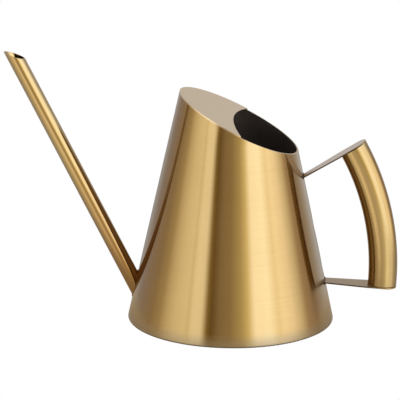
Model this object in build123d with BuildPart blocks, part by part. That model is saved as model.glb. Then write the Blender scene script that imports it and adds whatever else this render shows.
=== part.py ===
"""Indoor watering can of welded brass-coloured sheet and tube.

Millimetres, +Z up. The origin is the centre of the base, on the surface that the can stands on.
The spout reaches towards -X and the handle towards +X, so XZ is the plane of symmetry.
"""
import os
from math import atan, cos, radians, sin

from build123d import *

# Body: a cone with its wide end on the table and a slanting top
base_radius = 65.0
wall_slope = 0.2173  # radius lost per millimetre of height
body_sheet = 0.8
floor_sheet = 1.5
floor_edge_radius = 1.0
rim_height = 129.7  # height of the slanting rim where it crosses the vertical axis
rim_slope = 0.4906  # fall of the rim per millimetre towards the handle
blank_height = 160.0  # the rolled cone before its top is cut off

# Cover plate on the high half of the rim
cover_sheet = 0.8
cover_edge_radius = 93.0
cover_edge_start = 0.3  # distance of the concave edge from the axis, along the slope

# Spout: a straight tube, mitred at its tip
spout_radius = 5.0
spout_wall = 0.6
spout_lean = 27.4  # degrees from the vertical
spout_foot = (-60.5, 0, 20.0)  # a point on the spout's axis, at the body wall
spout_tip_height = 166.3
spout_mitre = 45.0

# Grip: an oval tube bent to one radius
grip_centre = (-62.5, 0, 35.1)
grip_bend_radius = 158.1
grip_half_depth = 9.0  # half of the section in the plane of the bend
grip_half_width = 7.0
grip_wall = 1.0
grip_blank_start = -10.0  # degrees, before the ends are cut to the arms
grip_blank_sweep = 46.0

# Arms: flat tapered plates that cap the two ends of the grip
arm_sheet = 1.0
arm_edge_radius = 0.5  # of the edge on the side away from the grip
upper_arm_rise = 32.15  # degrees
upper_arm_height = 93.0  # height of its top face where x is upper_arm_datum
upper_arm_datum = 43.0
upper_root_width = 7.4
upper_pad_width = 12.6
upper_pad_run = 9.0  # length of full width before the middle of the grip
upper_pad_corner = 6.0  # radius of the two corners beyond the grip
lower_arm_rise = -3.1
lower_arm_height = 26.1
lower_arm_datum = 60.0
lower_root_width = 10.6
lower_pad_width = 14.8
lower_pad_run = 9.0
lower_pad_corner = 6.8

# Welds
seam_width = 1.2
corner_bead = 1.2
spout_bead = 0.6
joint_gap = 0.4  # thickness of weld metal between two butted pieces
joint_margin = 0.5  # weld metal showing around a butted end

# Derived values
wall_angle = atan(wall_slope)
wall_inset = body_sheet / cos(wall_angle)
rim_plane = Plane((0, 0, rim_height), z_dir=(rim_slope, 0, 1))
cover_plane = rim_plane.offset(cover_sheet)
spout_axis = Vector(-sin(radians(spout_lean)), 0, cos(radians(spout_lean)))
spout_plane = Plane(spout_foot, z_dir=spout_axis)
spout_length = (spout_tip_height - spout_foot[2]) / cos(radians(spout_lean))
grip_angle = radians(grip_blank_start)
grip_plane = Plane(
    grip_centre,
    x_dir=(cos(grip_angle), 0, sin(grip_angle)),
    z_dir=(-sin(grip_angle), 0, cos(grip_angle)),
)
grip_axis = Axis(grip_centre, (0, -1, 0))


def wall_point(height, inset):
    """Point of a half section, a horizontal distance in from the body's outer face."""
    return (base_radius - wall_slope * height - inset, height)


def wall_profile(outside, inside, bottom=floor_sheet, top=blank_height):
    """Half section of the body wall, between two horizontal distances in from its outer face."""
    with BuildSketch(Plane.XZ) as profile:
        with BuildLine():
            Polyline(
                wall_point(bottom, outside),
                wall_point(top, outside),
                wall_point(top, inside),
                wall_point(bottom, inside),
                close=True,
            )
        make_face()
    return profile.sketch


def cone_profile(inset, bottom=0.0, top=blank_height):
    """Half section of the solid cone inside the body's outer face, less an inset."""
    with BuildSketch(Plane.XZ) as profile:
        with BuildLine():
            Polyline(
                (0, bottom),
                wall_point(bottom, inset),
                wall_point(top, inset),
                (0, top),
                close=True,
            )
        make_face()
    return profile.sketch


def grip_section():
    """Oval tube section at the lower end of the grip's blank."""
    with BuildSketch(grip_plane) as section:
        with Locations((grip_bend_radius, 0)):
            Ellipse(grip_half_depth, grip_half_width)
            Ellipse(grip_half_depth - grip_wall, grip_half_width - grip_wall, mode=Mode.SUBTRACT)
    return section.sketch


def arm_plane(datum, height, rise):
    """Plane of an arm's top face, with its x axis along the arm and its y axis across it."""
    direction = Vector(cos(radians(rise)), 0, sin(radians(rise)))
    normal = Vector(-direction.Z, 0, direction.X)
    return Plane((datum, 0, height), x_dir=direction, z_dir=normal)


def grip_reach(plane):
    """Distance along an arm, from its datum to the middle of the grip."""
    to_centre = plane.to_local_coords(Vector(*grip_centre))
    return to_centre.X + (grip_bend_radius**2 - to_centre.Z**2) ** 0.5


def arm_outline(plane, root_width, pad_width, pad_run, pad_corner):
    """Outline of an arm in its own plane: a tapered strip with a round-cornered end over the grip."""
    reach = grip_reach(plane)
    end = reach + grip_half_depth
    root = -10.0
    with BuildSketch(plane) as outline:
        with BuildLine():
            Polyline(
                (root, -root_width / 2),
                (0, -root_width / 2),
                (reach - pad_run, -pad_width / 2),
                (end, -pad_width / 2),
                (end, pad_width / 2),
                (reach - pad_run, pad_width / 2),
                (0, root_width / 2),
                (root, root_width / 2),
                close=True,
            )
        make_face()
        fillet(outline.vertices().sort_by(Axis(plane.origin, plane.x_dir))[-2:], pad_corner)
    return outline.sketch


def joint_outline(plane, width, height):
    """Section of the weld at an arm's root, square to the arm and centred on its thickness."""
    start = plane.from_local_coords(Vector(-10, 0, -arm_sheet / 2))
    section = Plane(start, x_dir=(0, 1, 0), z_dir=plane.x_dir)
    with BuildSketch(section) as outline:
        Rectangle(width, height)
    return outline.sketch


upper_plane = arm_plane(upper_arm_datum, upper_arm_height, upper_arm_rise)
lower_plane = arm_plane(lower_arm_datum, lower_arm_height, lower_arm_rise)
upper_grip_end = upper_plane.offset(-arm_sheet - joint_gap)
lower_grip_end = lower_plane.offset(joint_gap)

# The body: one sheet rolled into a cone, open along a narrow slot that the seam weld fills
with BuildPart() as body_shell:
    revolve(wall_profile(0, wall_inset), axis=Axis.Z)
    split(bisect_by=rim_plane, keep=Keep.BOTTOM)
    with BuildSketch(spout_plane):
        Circle(spout_radius)
    extrude(amount=3 * spout_radius, both=True, mode=Mode.SUBTRACT)
    with BuildSketch(Plane.XY):
        with Locations((base_radius / 2, 0)):
            Rectangle(base_radius + 2, seam_width)
    extrude(amount=blank_height, mode=Mode.SUBTRACT)
body_shell.part.label = "body_shell"

# Weld metal in the slot, dressed flush with both faces of the sheet
with BuildPart() as body_seam_weld:
    revolve(wall_profile(0, wall_inset), axis=Axis.Z)
    split(bisect_by=rim_plane, keep=Keep.BOTTOM)
    with BuildSketch(Plane.XY):
        with Locations((base_radius / 2, 0)):
            Rectangle(base_radius + 2, seam_width)
    extrude(amount=blank_height, mode=Mode.INTERSECT)
body_seam_weld.part.label = "body_seam_weld"

# The floor: a disc under the body wall, with its lower edge rounded
with BuildPart() as base_plate:
    with BuildSketch(Plane.XZ) as base_section:
        add(cone_profile(0, 0, floor_sheet))
        fillet(base_section.vertices().sort_by(Axis.X)[-1], floor_edge_radius)
    revolve(axis=Axis.Z)
base_plate.part.label = "base_plate"

# Bead in the corner between floor and wall, inside the can
with BuildPart() as base_weld:
    with BuildSketch(Plane.XZ):
        with BuildLine():
            floor_radius = base_radius - wall_slope * floor_sheet - wall_inset
            Polyline(
                (floor_radius, floor_sheet),
                (floor_radius - wall_slope * corner_bead, floor_sheet + corner_bead),
                (floor_radius - corner_bead, floor_sheet),
                close=True,
            )
        make_face()
    revolve(axis=Axis.Z)
base_weld.part.label = "base_weld"

# Cover plate on the high side, flush with the outside of the cone, its inner edge concave
with BuildPart() as top_cover:
    revolve(cone_profile(0), axis=Axis.Z)
    split(bisect_by=rim_plane, keep=Keep.TOP)
    split(bisect_by=cover_plane, keep=Keep.BOTTOM)
    with BuildSketch(rim_plane):
        with Locations((cover_edge_start + cover_edge_radius, 0)):
            Circle(cover_edge_radius)
    extrude(amount=2 * cover_sheet, both=True, mode=Mode.SUBTRACT)
top_cover.part.label = "top_cover"

# Bead under the cover, in the corner between plate and wall, stopping short of the opening
with BuildPart() as cover_weld:
    revolve(wall_profile(wall_inset, wall_inset + corner_bead), axis=Axis.Z)
    split(bisect_by=rim_plane, keep=Keep.BOTTOM)
    split(bisect_by=rim_plane.offset(-corner_bead), keep=Keep.TOP)
    with BuildSketch(rim_plane):
        with Locations((cover_edge_start + cover_edge_radius, 0)):
            Circle(cover_edge_radius + 2 * corner_bead)
    extrude(amount=2 * corner_bead, both=True, mode=Mode.SUBTRACT)
cover_weld.part.label = "cover_weld"

# Spout: passes through the wall and ends flush with its inner face
with BuildPart() as spout_tube:
    with BuildSketch(spout_plane.offset(-3 * spout_radius)):
        Circle(spout_radius)
        Circle(spout_radius - spout_wall, mode=Mode.SUBTRACT)
    extrude(amount=spout_length + 6 * spout_radius)
    tip = spout_plane.from_local_coords(Vector(0, 0, spout_length))
    tip_angle = radians(spout_mitre - spout_lean)
    split(bisect_by=Plane(tip, z_dir=(sin(tip_angle), 0, cos(tip_angle))), keep=Keep.BOTTOM)
    revolve(cone_profile(wall_inset), axis=Axis.Z, mode=Mode.SUBTRACT)
spout_tube.part.label = "spout_tube"

# Bead around the foot of the spout, on the outside of the wall
with BuildPart() as spout_weld:
    revolve(wall_profile(-spout_bead, 0), axis=Axis.Z)
    with BuildSketch(spout_plane.offset(-3 * spout_radius)):
        Circle(spout_radius + spout_bead)
        Circle(spout_radius, mode=Mode.SUBTRACT)
    extrude(amount=6 * spout_radius, mode=Mode.INTERSECT)
spout_weld.part.label = "spout_weld"

# Upper arm: rises from the body and caps the top of the grip
with BuildPart() as upper_arm:
    outline = arm_outline(
        upper_plane, upper_root_width, upper_pad_width, upper_pad_run, upper_pad_corner
    )
    extrude(outline, amount=-arm_sheet)
    outer_face = upper_arm.faces().sort_by(Axis(upper_plane.origin, upper_plane.z_dir))[-1]
    fillet(outer_face.edges(), arm_edge_radius)
    revolve(cone_profile(-joint_gap), axis=Axis.Z, mode=Mode.SUBTRACT)
upper_arm.part.label = "upper_arm"

# Lower arm: nearly level, caps the foot of the grip
with BuildPart() as lower_arm:
    outline = arm_outline(
        lower_plane, lower_root_width, lower_pad_width, lower_pad_run, lower_pad_corner
    )
    extrude(outline, amount=-arm_sheet)
    outer_face = lower_arm.faces().sort_by(Axis(lower_plane.origin, lower_plane.z_dir))[0]
    fillet(outer_face.edges(), arm_edge_radius)
    revolve(cone_profile(-joint_gap), axis=Axis.Z, mode=Mode.SUBTRACT)
lower_arm.part.label = "lower_arm"

# Welds between the arms' roots and the body wall
with BuildPart() as upper_arm_weld:
    revolve(wall_profile(-joint_gap, 0), axis=Axis.Z)
    root = joint_outline(upper_plane, upper_root_width + 2 * joint_margin, arm_sheet + 2 * joint_margin)
    extrude(root, amount=30, mode=Mode.INTERSECT)
upper_arm_weld.part.label = "upper_arm_weld"

with BuildPart() as lower_arm_weld:
    revolve(wall_profile(-joint_gap, 0), axis=Axis.Z)
    root = joint_outline(lower_plane, lower_root_width + 2 * joint_margin, arm_sheet + 2 * joint_margin)
    extrude(root, amount=30, mode=Mode.INTERSECT)
lower_arm_weld.part.label = "lower_arm_weld"

# Grip: oval tube bent to an arc, its ends cut to meet the arms
with BuildPart() as grip_tube:
    revolve(grip_section(), axis=grip_axis, revolution_arc=grip_blank_sweep)
    split(bisect_by=upper_grip_end, keep=Keep.BOTTOM)
    split(bisect_by=lower_grip_end, keep=Keep.TOP)
grip_tube.part.label = "grip_tube"

# Butt welds that join the two ends of the grip to the arms
with BuildPart() as grip_upper_weld:
    revolve(grip_section(), axis=grip_axis, revolution_arc=grip_blank_sweep)
    split(bisect_by=upper_plane.offset(-arm_sheet), keep=Keep.BOTTOM)
    split(bisect_by=upper_grip_end, keep=Keep.TOP)
grip_upper_weld.part.label = "grip_upper_weld"

with BuildPart() as grip_lower_weld:
    revolve(grip_section(), axis=grip_axis, revolution_arc=grip_blank_sweep)
    split(bisect_by=lower_grip_end, keep=Keep.BOTTOM)
    split(bisect_by=lower_plane, keep=Keep.TOP)
grip_lower_weld.part.label = "grip_lower_weld"

pieces = [
    body_shell,
    body_seam_weld,
    base_plate,
    base_weld,
    top_cover,
    cover_weld,
    spout_tube,
    spout_weld,
    upper_arm,
    lower_arm,
    upper_arm_weld,
    lower_arm_weld,
    grip_tube,
    grip_upper_weld,
    grip_lower_weld,
]
os.makedirs("parts", exist_ok=True)
for piece in pieces:
    export_step(piece.part, f"parts/{piece.part.label}.step")
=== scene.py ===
"""Looks for the brass watering can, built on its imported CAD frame.

Metres, with +Z up and the spout towards -X. Every CAD node keeps its shape and gets a procedural metal.
"""
import math

import bpy
from mathutils import Matrix, Vector


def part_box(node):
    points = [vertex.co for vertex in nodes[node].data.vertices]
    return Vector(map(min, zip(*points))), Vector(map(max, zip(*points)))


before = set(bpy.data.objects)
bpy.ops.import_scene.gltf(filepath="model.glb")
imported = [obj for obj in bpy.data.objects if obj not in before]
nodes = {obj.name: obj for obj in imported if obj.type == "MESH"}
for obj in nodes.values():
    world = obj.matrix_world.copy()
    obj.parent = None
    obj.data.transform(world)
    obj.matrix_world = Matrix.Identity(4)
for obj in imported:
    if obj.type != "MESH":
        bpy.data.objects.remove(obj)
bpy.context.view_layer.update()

# ---------------------------------------------------------------- shader helpers


def empty_tree(owner):
    """The node tree of a material or a world, with nothing in it."""
    owner.use_nodes = True
    owner.node_tree.nodes.clear()
    return owner.node_tree


def node(tree, kind, op=None, **values):
    """A shader node. A keyword sets a property, or with i_ before it the input of that name or number."""
    made = tree.nodes.new("ShaderNode" + kind)
    if op is not None:
        made.operation = op
    for key, value in values.items():
        if not key.startswith("i_"):
            setattr(made, key, value)
            continue
        slot = key[2:]
        socket = made.inputs[int(slot) if slot.isdigit() else slot.replace("_", " ")]
        if isinstance(value, bpy.types.NodeSocket):
            tree.links.new(value, socket)
        else:
            socket.default_value = value
    return made


def maths(tree, op, a, b=0.0, c=0.0):
    return node(tree, "Math", op=op, i_0=a, i_1=b, i_2=c).outputs[0]


def vector_maths(tree, op, a, b):
    return node(tree, "VectorMath", op=op, i_0=a, i_1=b).outputs[0]


def mapped(tree, value, start, end, low=0.0, high=1.0, curve="LINEAR"):
    """A value turned from the span start to end into low to high, and held at both ends."""
    made = node(tree, "MapRange", interpolation_type=curve, i_Value=value, i_From_Min=start, i_From_Max=end)
    made.inputs["To Min"].default_value = low
    made.inputs["To Max"].default_value = high
    return made.outputs[0]


def ramp(tree, fac, stops):
    """A colour ramp from (position, colour) stops."""
    made = node(tree, "ValToRGB", i_0=fac)
    elements = made.color_ramp.elements
    while len(elements) < len(stops):
        elements.new(0.5)
    for element, (position, colour) in zip(elements, stops):
        element.position = position
        element.color = (*colour, 1.0)
    return made.outputs["Color"]


def blend(tree, first, second, fac):
    """Mix of two colours, each a socket or a tuple."""
    first, second = ((*colour, 1.0) if isinstance(colour, tuple) else colour for colour in (first, second))
    return node(tree, "Mix", data_type="RGBA", i_0=fac, i_6=first, i_7=second).outputs[2]


# ---------------------------------------------------------------- brushed metals

PATINA_PER_METRE = 28.0  # size of the soft blotches that dull the brass
BLOTCH_SHARE = 0.3  # of the spread in roughness, given to the blotches


def frame_axes(direction):
    """Euler rotation for a Mapping node that turns a direction in the XZ plane onto +Z."""
    return (0.0, -math.atan2(direction[0], direction[2]), 0.0)


def noise(tree, place, scale, detail, roughness):
    made = node(tree, "TexNoise", i_Vector=place, i_Scale=scale, i_Detail=detail, i_Roughness=roughness)
    return made.outputs["Fac"]


def brushed_metal(
    name,
    light,
    dark,
    roughness,
    anisotropy,
    grain,
    turn=(0.0, 0.0, 0.0),
    tangent=None,
    bend=None,
    spread=0.02,
    relief=0.0000006,
    fades=(),
):
    """Brushed brass. grain is the noise frequency per metre along x, y and z after the turn.
    tangent is the direction in which highlights smear, or bend the centre of an arc that it follows.
    A fade is a colour, the heights where it starts and is full, and the roughness that it adds."""
    mat = bpy.data.materials.new(name)
    tree = empty_tree(mat)
    place = node(tree, "TexCoord").outputs["Object"]
    turned = node(tree, "Mapping", vector_type="POINT", i_Vector=place, i_Rotation=turn).outputs[0]
    scaled = node(tree, "Mapping", vector_type="POINT", i_Vector=turned, i_Scale=grain).outputs[0]
    lines = noise(tree, scaled, 1.0, 3.0, 0.6)
    patina = noise(tree, place, PATINA_PER_METRE, 4.0, 0.55)
    # Colour from the brush lines and the patina in equal parts, roughness mostly from the lines
    mixed = maths(tree, "MULTIPLY_ADD", lines, 0.5, maths(tree, "MULTIPLY", patina, 0.5))
    tint = ramp(tree, mixed, [(0.3, dark), (0.7, light)])
    rough = mapped(tree, lines, 0.25, 0.75, roughness - spread, roughness + spread)
    blotch = mapped(tree, patina, 0.3, 0.7, -BLOTCH_SHARE * spread, BLOTCH_SHARE * spread)
    rough = maths(tree, "ADD", rough, blotch)
    height = node(tree, "SeparateXYZ", i_0=place).outputs[2]
    for colour, start, full, added in fades:
        amount = mapped(tree, height, start, full)
        tint = blend(tree, tint, colour, amount)
        rough = maths(tree, "MULTIPLY_ADD", amount, added, rough)
    bump = node(tree, "Bump", i_Strength=0.5, i_Distance=relief, i_Height=lines).outputs[0]
    shader = node(
        tree,
        "BsdfPrincipled",
        i_Base_Color=tint,
        i_Metallic=1.0,
        i_Roughness=rough,
        i_Anisotropic=anisotropy,
        i_Normal=bump,
    )
    if bend is not None:
        arm = vector_maths(tree, "SUBTRACT", place, bend)
        along = vector_maths(tree, "CROSS_PRODUCT", arm, (0.0, 1.0, 0.0))
        tree.links.new(along, shader.inputs["Tangent"])
    elif tangent is not None:
        along = node(tree, "CombineXYZ", i_0=tangent[0], i_1=tangent[1], i_2=tangent[2]).outputs[0]
        tree.links.new(along, shader.inputs["Tangent"])
    node(tree, "OutputMaterial", i_Surface=shader.outputs["BSDF"])
    return mat


# Directions and a centre from the CAD: along the spout, the arms and the slanting rim, and the grip's arc
spout_way = (-0.4602, 0.0, 0.8878)
upper_way = (0.8467, 0.0, 0.5321)
lower_way = (0.9985, 0.0, -0.0541)
rim_way = (0.8978, 0.0, -0.4404)
grip_middle = (-0.0625, 0.0, 0.0351)
upright = (0.0, 0.0, 1.0)
across = (0.0, 1.0, 0.0)

# Painted reflection of the lit table: a paler band over the can's lowest 8.5 mm, which also adds roughness
# there
floor_reflection_foot = ((0.60, 0.49, 0.31), 0.0085, 0.0010, 0.16)
# Painted shade: a dark line along the can's lowest 1.4 mm, where it meets the floor
foot_contact_shade = ((0.22, 0.19, 0.15), 0.0014, 0.0002, 0.0)
# Darker, more orange colour on the spout below 105 mm height, full below 30 mm
lower_spout_darkening = ((0.46, 0.28, 0.12), 0.105, 0.030, 0.0)

body_metal = brushed_metal(
    "brass_brushed_round",
    light=(0.635, 0.475, 0.235),
    dark=(0.585, 0.435, 0.205),
    roughness=0.13,
    anisotropy=1.0,
    grain=(14, 14, 1500),
    tangent=upright,
    spread=0.012,
    fades=(floor_reflection_foot, foot_contact_shade),
)
tube_metal = brushed_metal(
    "brass_polished_tube",
    light=(0.635, 0.47, 0.23),
    dark=(0.58, 0.43, 0.20),
    roughness=0.10,
    anisotropy=0.6,
    grain=(60, 60, 2600),
    turn=frame_axes(spout_way),
    tangent=spout_way,
    fades=(lower_spout_darkening,),
)
grip_metal = brushed_metal(
    "brass_polished_grip",
    light=(0.585, 0.435, 0.21),
    dark=(0.535, 0.395, 0.185),
    roughness=0.10,
    anisotropy=0.6,
    grain=(300, 60, 1500),
    bend=grip_middle,
)
# Painted light: the cover's brass is coloured much paler than the body's, to stand in for the light on the
# can's upward face
cover_painted_light_metal = brushed_metal(
    "brass_satin_cover_painted_light",
    light=(0.96, 0.80, 0.57),
    dark=(0.91, 0.75, 0.52),
    roughness=0.26,
    anisotropy=0.8,
    grain=(30, 2200, 30),
    turn=frame_axes(rim_way),
    tangent=across,
)
# Painted light: the upper arm's brass is coloured near white, far paler than the lower arm's, to stand in
# for the light on its upward face
upper_arm_painted_light_metal = brushed_metal(
    "brass_satin_upper_arm_painted_light",
    light=(1.0, 0.91, 0.82),
    dark=(0.94, 0.85, 0.76),
    roughness=0.34,
    anisotropy=0.7,
    grain=(1800, 1800, 40),
    turn=frame_axes(upper_way),
    tangent=across,
)
lower_metal = brushed_metal(
    "brass_satin_lower_arm",
    light=(0.60, 0.48, 0.37),
    dark=(0.52, 0.41, 0.31),
    roughness=0.34,
    anisotropy=0.7,
    grain=(1800, 1800, 40),
    turn=frame_axes(lower_way),
    tangent=across,
)
# Near-black welds where the arms meet the body: partly the weld's own dark colour, partly painted shade in
# the seam
weld_seam_shade_metal = brushed_metal(
    "brass_weld_seam_shade",
    light=(0.16, 0.11, 0.07),
    dark=(0.08, 0.055, 0.035),
    roughness=0.38,
    anisotropy=0.0,
    grain=(1400, 1400, 1400),
    relief=0.00002,
)
edge_metal = brushed_metal(
    "brass_cut_edge",
    light=(0.17, 0.125, 0.09),
    dark=(0.11, 0.08, 0.055),
    roughness=0.30,
    anisotropy=0.0,
    grain=(900, 900, 900),
    relief=0.000004,
)
inner_metal = brushed_metal(
    "brass_inside_dull",
    light=(0.52, 0.47, 0.45),
    dark=(0.42, 0.38, 0.36),
    roughness=0.5,
    anisotropy=0.3,
    grain=(16, 16, 1200),
    tangent=upright,
)

# ---------------------------------------------------------------- metals on the CAD nodes


def dress(name, outer, *parts):
    """Gives a CAD node its outside metal, and another metal to the faces that a (metal, test) pair picks."""
    mesh = nodes[name].data
    mesh.materials.clear()
    for metal in (outer, *(metal for metal, test in parts)):
        mesh.materials.append(metal)
    for face in mesh.polygons:
        face.material_index = 0
        for i, (metal, test) in enumerate(parts):
            if test(face.center, face.normal):
                face.material_index = i + 1


def faces_axis(centre, normal):
    """True on the side of the wall that looks at the can's axis."""
    return centre.x * normal.x + centre.y * normal.y < -0.3 * math.hypot(centre.x, centre.y)


def faces_up(centre, normal):
    return normal.z > 0.9


def faces_down(centre, normal):
    return normal.z < -0.5


def upper_arm_end(centre, normal):
    """True on the rounded edge beyond the grip, below the arm's upper face."""
    return normal.x > 0.55 and normal.z < 0.7


def lower_arm_end(centre, normal):
    """True on the rounded edge around the grip's foot, which shines like the grip."""
    return centre.x > polished_from and -0.95 < normal.z < 0.7


def cut_edge(way):
    """Test for the sheared edge of a plate that runs along a direction in the XZ plane."""
    square = Vector((-way[2], 0.0, way[0]))
    return lambda centre, normal: abs(normal.dot(square)) < 0.7


foot_low, foot_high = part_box("grip_lower_weld")
polished_from = foot_low.x + 0.25 * (foot_high.x - foot_low.x)

dress("body_shell", body_metal, (inner_metal, faces_axis))
dress("body_seam_weld", grip_metal, (inner_metal, faces_axis))
dress("base_plate", body_metal, (inner_metal, faces_up))
dress("base_weld", inner_metal)
dress("top_cover", cover_painted_light_metal, (inner_metal, faces_down))
dress("cover_weld", inner_metal)
dress("spout_tube", tube_metal)
dress("spout_weld", tube_metal)
dress("upper_arm", upper_arm_painted_light_metal, (edge_metal, cut_edge(upper_way)), (grip_metal, upper_arm_end))
dress("lower_arm", lower_metal, (edge_metal, cut_edge(lower_way)), (grip_metal, lower_arm_end))
dress("upper_arm_weld", weld_seam_shade_metal)
dress("lower_arm_weld", weld_seam_shade_metal)
dress("grip_tube", grip_metal)
dress("grip_upper_weld", grip_metal)
dress("grip_lower_weld", grip_metal)

# ---------------------------------------------------------------- studio

scene = bpy.context.scene
scene.view_settings.view_transform = "Standard"
scene.view_settings.look = "None"

# Light on the can by compass direction, in degrees from the camera's side towards the handle
studio = [
    (-180, (0.50, 0.46, 0.42)),
    (-162, (0.48, 0.48, 0.50)),
    (-147, (0.39, 0.39, 0.45)),
    (-133, (0.33, 0.29, 0.35)),
    (-100, (0.375, 0.285, 0.21)),
    (-85, (0.52, 0.42, 0.27)),
    (-75, (0.82, 0.71, 0.54)),
    (-64, (1.02, 0.93, 0.76)),
    (-50, (1.13, 1.06, 0.88)),
    (-46, (1.01, 0.93, 0.72)),
    (-43, (1.21, 1.14, 0.99)),
    (-38, (1.27, 1.21, 1.10)),
    (-30.5, (1.20, 1.14, 1.05)),
    (-24, (0.31, 0.21, 0.065)),
    (-19, (0.175, 0.105, 0.03)),
    (-9, (0.33, 0.25, 0.16)),
    (3, (0.39, 0.30, 0.18)),
    (17, (0.69, 0.57, 0.32)),
    (24, (1.00, 0.87, 0.46)),
    (32, (1.64, 1.59, 1.60)),
    (50, (1.67, 1.68, 1.72)),
    (61, (1.38, 1.25, 1.04)),
    (67, (1.52, 1.41, 1.27)),
    (80, (1.36, 1.24, 1.14)),
    (92, (0.94, 0.87, 0.72)),
    (103, (0.52, 0.39, 0.30)),
    (119, (0.33, 0.245, 0.20)),
    (134, (0.42, 0.38, 0.40)),
    (150, (0.53, 0.54, 0.66)),
    (165, (0.68, 0.69, 0.76)),
    (180, (0.50, 0.46, 0.42)),
]
# The same below the horizon, where the front of the table catches light
table_side = [
    (-180, (0.22, 0.20, 0.20)),
    (-153, (0.42, 0.41, 0.45)),
    (-107, (0.34, 0.30, 0.32)),
    (-57, (0.52, 0.38, 0.18)),
    (-40, (0.78, 0.62, 0.38)),
    (-33, (1.08, 0.92, 0.70)),
    (-26, (1.18, 1.06, 0.86)),
    (-17, (1.02, 0.88, 0.70)),
    (-7, (0.68, 0.59, 0.46)),
    (4, (0.76, 0.67, 0.52)),
    (15, (0.90, 0.82, 0.62)),
    (22, (1.22, 1.18, 0.98)),
    (31, (1.36, 1.32, 1.18)),
    (43, (1.18, 1.12, 0.98)),
    (66, (1.06, 0.99, 0.90)),
    (80, (0.66, 0.60, 0.53)),
    (103, (0.45, 0.41, 0.38)),
    (136, (0.40, 0.37, 0.38)),
    (158, (0.48, 0.48, 0.53)),
    (180, (0.22, 0.20, 0.20)),
]
# Higher up, where the lamps are paler
upper = [
    (-180, (0.60, 0.58, 0.57)),
    (-133, (0.40, 0.36, 0.38)),
    (-96, (0.45, 0.38, 0.30)),
    (-60, (1.05, 0.95, 0.78)),
    (-32, (1.20, 1.14, 1.05)),
    (-23, (0.20, 0.13, 0.05)),
    (15, (0.44, 0.34, 0.21)),
    (36, (1.55, 1.58, 1.62)),
    (48, (1.72, 1.86, 2.10)),
    (66, (1.66, 1.78, 2.00)),
    (80, (1.30, 1.36, 1.50)),
    (97, (0.66, 0.68, 0.74)),
    (140, (0.58, 0.60, 0.66)),
    (180, (0.60, 0.58, 0.57)),
]
# The table top itself
table_top = [
    (-180, (0.42, 0.39, 0.36)),
    (-100, (0.45, 0.43, 0.41)),
    (-75, (0.58, 0.54, 0.49)),
    (-40, (0.84, 0.77, 0.61)),
    (-22, (0.95, 0.84, 0.64)),
    (0, (0.74, 0.64, 0.46)),
    (25, (0.80, 0.70, 0.50)),
    (55, (1.05, 1.00, 0.88)),
    (100, (0.60, 0.55, 0.50)),
    (180, (0.42, 0.39, 0.36)),
]
upper_wall = (0.50, 0.47, 0.42)
ceiling = (0.50, 0.48, 0.45)
between_low = (0.14, 0.08, 0.05)
between_high = (0.44, 0.38, 0.40)
white = (1.0, 1.0, 1.0)

world = bpy.data.worlds.new("studio")
scene.world = world
sky = empty_tree(world)
look = node(sky, "SeparateXYZ", i_0=node(sky, "TexCoord").outputs["Generated"]).outputs
compass = maths(sky, "ARCTAN2", look[0], maths(sky, "MULTIPLY", look[1], -1.0))
fraction = maths(sky, "MULTIPLY_ADD", compass, 0.5 / math.pi, 0.5)


def all_round(stops):
    """Light by compass direction from (degrees, colour) stops."""
    return ramp(sky, fraction, [((angle + 180) / 360, colour) for angle, colour in stops])


def by_height(low, high, below, above):
    """The light below one sine of elevation and above another, blended in between."""
    return blend(sky, below, above, mapped(sky, look[2], low, high, curve="SMOOTHSTEP"))


light = all_round(table_top)
for low, high, above in (
    (-0.50, -0.40, all_round(table_side)),
    (-0.26, -0.10, all_round(studio)),
    (0.18, 0.32, all_round(upper)),
    (0.42, 0.58, upper_wall),
    (0.74, 0.90, ceiling),
):
    light = by_height(low, high, light, above)

# Light that has met two pieces of metal on its way comes from between them, where little reaches
path = node(sky, "LightPath").outputs
dimming = 0.84
met_two = maths(sky, "GREATER_THAN", path["Ray Depth"], 2.5)
share = maths(sky, "MULTIPLY_ADD", path["Is Diffuse Ray"], -dimming, dimming)
between = by_height(0.45, 0.80, between_low, between_high)
light = blend(sky, light, between, maths(sky, "MULTIPLY", met_two, share))
light = blend(sky, light, white, path["Is Camera Ray"])
glow = node(sky, "Background", i_Color=light, i_Strength=1.0)
node(sky, "OutputWorld", i_Surface=glow.outputs[0])

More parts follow.
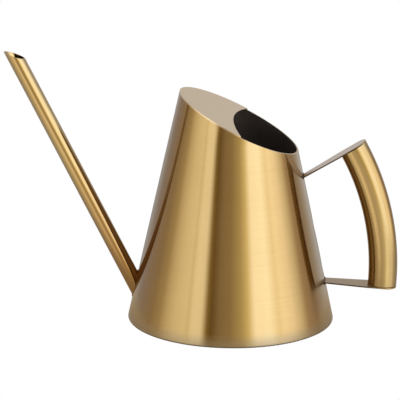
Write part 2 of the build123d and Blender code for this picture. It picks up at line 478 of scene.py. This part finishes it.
# A pale floor: plain white to the eye, and in reflections a lit table that fades into the studio
half_side, drop = 6.0, 0.00005
table_from, table_to = 0.08, 0.18  # where the lit table starts to fade and has gone
floor_mesh = bpy.data.meshes.new("floor")
floor_mesh.from_pydata(
    [(x * half_side, y * half_side, -drop) for x, y in ((-1, -1), (1, -1), (1, 1), (-1, 1))],
    [],
    [(0, 1, 2, 3)],
)
floor = bpy.data.objects.new("floor", floor_mesh)
scene.collection.objects.link(floor)
floor_mat = bpy.data.materials.new("floor_paper")
paper = empty_tree(floor_mat)
reach = node(paper, "VectorMath", op="LENGTH", i_0=node(paper, "TexCoord").outputs["Object"])
gone = mapped(paper, reach.outputs["Value"], table_from, table_to, curve="SMOOTHSTEP")
lit = node(paper, "BsdfDiffuse", i_Color=(0.92, 0.83, 0.72, 1.0)).outputs[0]
clear = node(paper, "BsdfTransparent").outputs[0]
reflected = node(paper, "MixShader", i_0=gone, i_1=lit, i_2=clear).outputs[0]
plain = node(paper, "Emission", i_Color=(*white, 1.0), i_Strength=1.0).outputs[0]
to_eye = node(paper, "LightPath").outputs["Is Camera Ray"]
seen = node(paper, "MixShader", i_0=to_eye, i_1=reflected, i_2=plain).outputs[0]
node(paper, "OutputMaterial", i_Surface=seen)
floor_mesh.materials.append(floor_mat)

# ---------------------------------------------------------------- camera

azimuth, elevation, roll = math.radians(4.0), math.radians(15.41), math.radians(0.46)
aim, distance = Vector((-0.01996, 0.0, 0.07613)), 1.820
level = math.cos(elevation)
back = Vector((math.sin(azimuth) * level, -math.cos(azimuth) * level, math.sin(elevation)))
right = Vector((math.cos(azimuth), math.sin(azimuth), 0.0))
up = back.cross(right)
cam_x = right * math.cos(roll) + up * math.sin(roll)
cam_y = up * math.cos(roll) - right * math.sin(roll)
lens = bpy.data.cameras.new("camera")
lens.sensor_width = 36.0
lens.lens = 261.1
lens.clip_start, lens.clip_end = 0.05, 50.0
camera = bpy.data.objects.new("camera", lens)
scene.collection.objects.link(camera)
turned_back = Matrix((cam_x, cam_y, back)).transposed().to_4x4()
camera.matrix_world = Matrix.Translation(aim + back * distance) @ turned_back
scene.camera = camera
